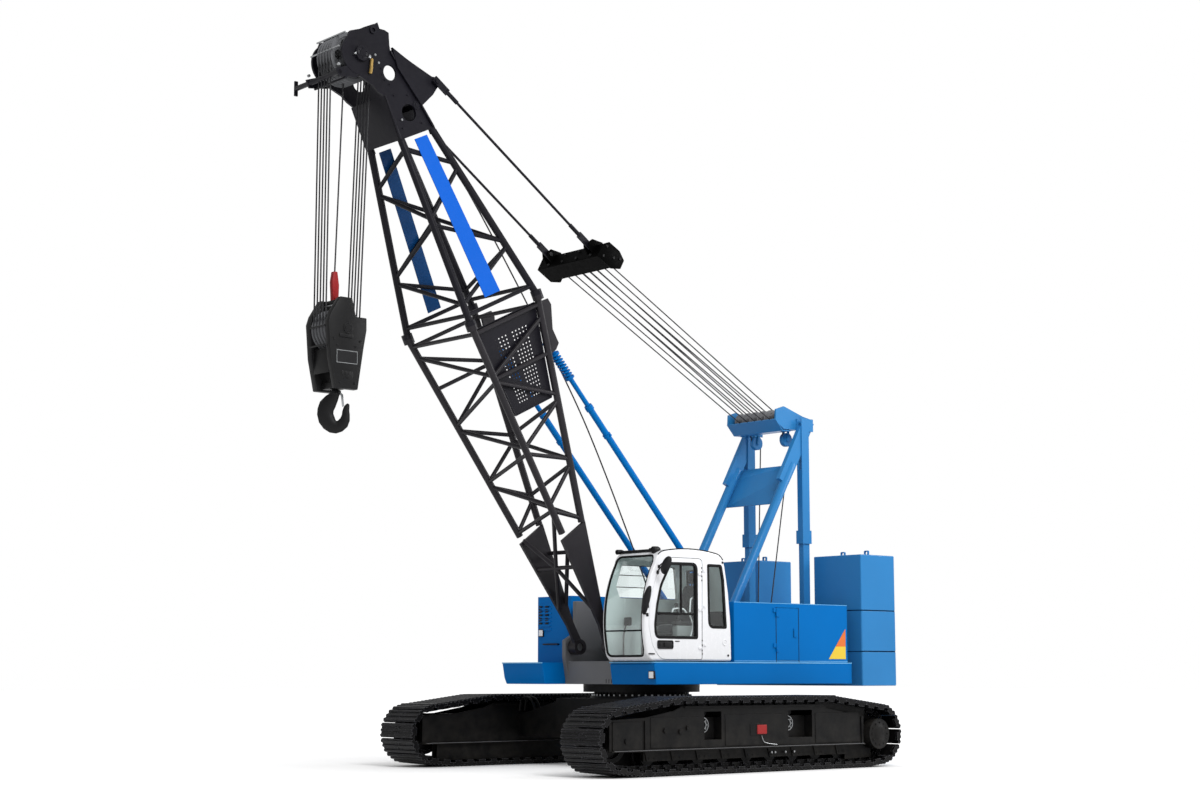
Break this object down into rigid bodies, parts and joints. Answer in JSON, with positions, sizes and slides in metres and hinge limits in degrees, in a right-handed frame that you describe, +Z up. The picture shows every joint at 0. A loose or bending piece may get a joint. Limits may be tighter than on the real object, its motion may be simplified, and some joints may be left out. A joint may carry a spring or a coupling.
{
  "type": "lattice boom crawler crane",
  "caption": "Crawler crane with a short lattice boom, hook block, A-frame, luffing ropes and backstops on a swinging upper works with side cab and counterweight.",
  "frame": {"origin": "on the ground, under the middle of the crane's length as it stands", "axes": "+X forward over the front of the tracks, +Y to the machine's left, +Z up"},
  "size_m": [9.8188, 4.95, 10.2007],
  "materials": {
    "crawler_black": "black enamel, dusty",
    "track_steel": "cast track steel",
    "frame_grey": "mid grey enamel",
    "blue_paint": "bright blue gloss enamel",
    "boom_black": "near-black enamel",
    "cab_white": "white gloss enamel",
    "glass": "tinted safety glass",
    "seat_cloth": "dark woven cloth",
    "black_plastic": "moulded black plastic",
    "bare_steel": "machined steel",
    "block_black": "black enamel"
  },
  "bodies": {
    "crawler": {"carbody": "crawler_black", "slew_ring_outer": "crawler_black", "side_frame_left": "crawler_black", "side_frame_right": "crawler_black", "track_left": "track_steel", "track_right": "track_steel", "track_wheels_left": "track_steel", "track_wheels_right": "track_steel", "track_rollers_left": "track_steel", "track_rollers_right": "track_steel"},
    "upper": {"main_frame": "frame_grey", "boom_foot_pins": "bare_steel", "deck_left": "blue_paint", "deck_right": "blue_paint", "slew_ring_inner": "crawler_black", "house_left": "blue_paint", "house_right": "blue_paint", "engine": "bare_steel", "counterweight_base": "blue_paint", "counterweight_middle": "blue_paint", "counterweight_top_left": "blue_paint", "counterweight_top_right": "blue_paint", "winches": "frame_grey", "aframe_front_legs": "blue_paint", "aframe_rear_legs": "blue_paint", "aframe_head": "blue_paint", "cab": "cab_white", "cab_glass": "glass", "cab_seat": "seat_cloth", "cab_controls": "black_plastic", "cab_mirrors": "black_plastic"},
    "cab_door": {"cab_door": "cab_white", "cab_door_glass": "glass"},
    "house_door_left": {"house_door_left": "blue_paint"},
    "house_door_right": {"house_door_right": "blue_paint"},
    "boom": {"boom_base_left": "boom_black", "boom_base_right": "boom_black", "boom_base_front": "boom_black", "boom_base_back": "boom_black", "boom_tip_left": "boom_black", "boom_tip_right": "boom_black", "boom_tip_front": "boom_black", "boom_tip_back": "boom_black", "boom_head": "boom_black", "boom_boards": "blue_paint", "boom_screen": "boom_black"},
    "head_sheaves": {"head_sheaves": "bare_steel"},
    "hook_block": {"hook_block": "block_black"},
    "hook": {"hook": "block_black"},
    "luff_sheaves": {"luff_sheaves": "blue_paint", "luffing_falls_nest": "bare_steel"},
    "bridle": {"bridle": "boom_black", "pendants": "boom_black", "luffing_falls_bridle": "bare_steel"},
    "backstop_tubes": {"backstop_tubes": "blue_paint"},
    "backstop_rods": {"backstop_rods": "blue_paint"}
  },
  "joints": [
    {"name": "swing", "type": "hinge", "parent": "crawler", "child": "upper", "pos_m": [-0.94136, 0, 1.15], "axis": [0, 0, 1], "continuous": true},
    {"name": "luff", "type": "hinge", "parent": "upper", "child": "boom", "pos_m": [-0.00136, 0, 1.75], "axis": [0, -1, 0], "range_deg": [-33.7, 16.3]},
    {"name": "head_sheave_turn", "type": "hinge", "parent": "boom", "child": "head_sheaves", "pos_m": [4.5199, 0, 9.70412], "axis": [0, -1, 0], "range_deg": [-16.3, 33.7]},
    {"name": "hoist", "type": "slide", "parent": "head_sheaves", "child": "hook_block", "axis": [0, 0, -1], "range_m": [-2.5, 4.5]},
    {"name": "hook_swivel", "type": "hinge", "parent": "hook_block", "child": "hook", "pos_m": [4.5799, 0, 5.1], "axis": [0, 0, 1], "continuous": true},
    {"name": "luff_sheave_turn", "type": "hinge", "parent": "upper", "child": "luff_sheaves", "pos_m": [-3.54136, 0, 5.38], "axis": [0, -1, 0], "range_deg": [-26.25, 12.75]},
    {"name": "bridle_haul", "type": "slide", "parent": "luff_sheaves", "child": "bridle", "axis": [0.8796, 0, 0.4756], "range_m": [-1.36, 2.8]},
    {"name": "backstop_turn", "type": "hinge", "parent": "upper", "child": "backstop_tubes", "pos_m": [-2.06836, 0, 2.32], "axis": [0, -1, 0], "range_deg": [-26.28, 12.77]},
    {"name": "backstop_slide", "type": "slide", "parent": "backstop_tubes", "child": "backstop_rods", "axis": [0.6748, 0, 0.738], "range_m": [-0.512, 1.049]},
    {"name": "cab_door_swing", "type": "hinge", "parent": "upper", "child": "cab_door", "pos_m": [-0.75436, 1.53, 2.2], "axis": [0, 0, 1], "range_deg": [0, 175]},
    {"name": "house_door_left_swing", "type": "hinge", "parent": "upper", "child": "house_door_left", "pos_m": [-2.27636, 1.52, 1.95], "axis": [0, 0, -1], "range_deg": [0, 110]},
    {"name": "house_door_right_swing", "type": "hinge", "parent": "upper", "child": "house_door_right", "pos_m": [-1.49836, -1.506, 2], "axis": [0, 0, 1], "range_deg": [0, 110]}
  ],
  "couplings": [
    {"joint": "head_sheave_turn", "follows": "luff", "ratio": -1},
    {"joint": "luff_sheave_turn", "follows": "luff", "ratio": 0.776},
    {"joint": "bridle_haul", "follows": "luff", "m_per_rad": -4.744},
    {"joint": "backstop_turn", "follows": "luff", "ratio": 0.777},
    {"joint": "backstop_slide", "follows": "luff", "m_per_rad": -1.766}
  ]
}
